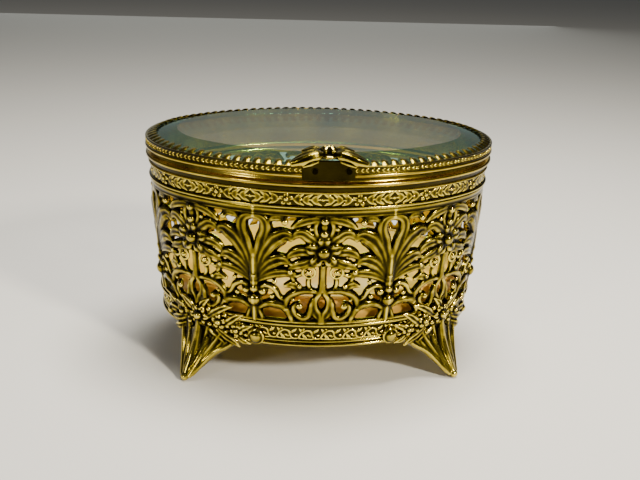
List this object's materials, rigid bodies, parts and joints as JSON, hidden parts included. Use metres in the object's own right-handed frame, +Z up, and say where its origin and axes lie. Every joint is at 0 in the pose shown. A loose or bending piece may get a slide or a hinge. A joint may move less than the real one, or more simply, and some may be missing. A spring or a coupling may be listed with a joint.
{
  "type": "jewelry box",
  "caption": "Long oval gilt filigree jewelry box on cabriole feet, with a hinged bevelled-glass lid held by a dog-tooth gallery, and a padded satin cushion inside.",
  "frame": {"origin": "middle of the floor that the four toes stand on, under the middle of the whole box", "axes": "+X to the right along the long axis of the oval, the front with the thumb ornament faces -Y, +Z up"},
  "size_m": [0.133, 0.1068, 0.0929],
  "materials": {
    "antique_gilt": "stamped and cast brass with an antique gold plate, dark in its recesses and polished on its high points",
    "polished_gilt": "polished gold plate",
    "steel": "plain zinc-plated",
    "board": "plain grey-brown board",
    "satin": "cream-gold satin over padding",
    "bevelled_glass": "clear polished glass with a wide ground bevel"
  },
  "bodies": {
    "casket": {"filigree_wall": "antique_gilt", "upper_band": "antique_gilt", "lower_band": "antique_gilt", "rim_collar": "polished_gilt", "base_plate": "antique_gilt", "foot_front_left": "antique_gilt", "foot_front_right": "antique_gilt", "foot_rear_left": "antique_gilt", "foot_rear_right": "antique_gilt", "foot_screws": "steel", "foot_nuts": "steel", "cushion_board": "board", "cushion": "satin", "hinge_body_leaf": "antique_gilt", "hinge_pin": "steel", "hinge_body_rivets": "polished_gilt"},
    "lid": {"lid_frame": "polished_gilt", "lid_gallery": "antique_gilt", "lid_glass": "bevelled_glass", "thumb_strap": "antique_gilt", "thumb_ornament": "antique_gilt", "thumb_rivets": "polished_gilt", "hinge_lid_leaf": "antique_gilt", "hinge_lid_rivets": "polished_gilt"}
  },
  "joints": [
    {"name": "lid_hinge", "type": "hinge", "parent": "casket", "child": "lid", "pos_m": [0, 0.0519, 0.082], "axis": [-1, 0, 0], "range_deg": [0, 100]}
  ]
}
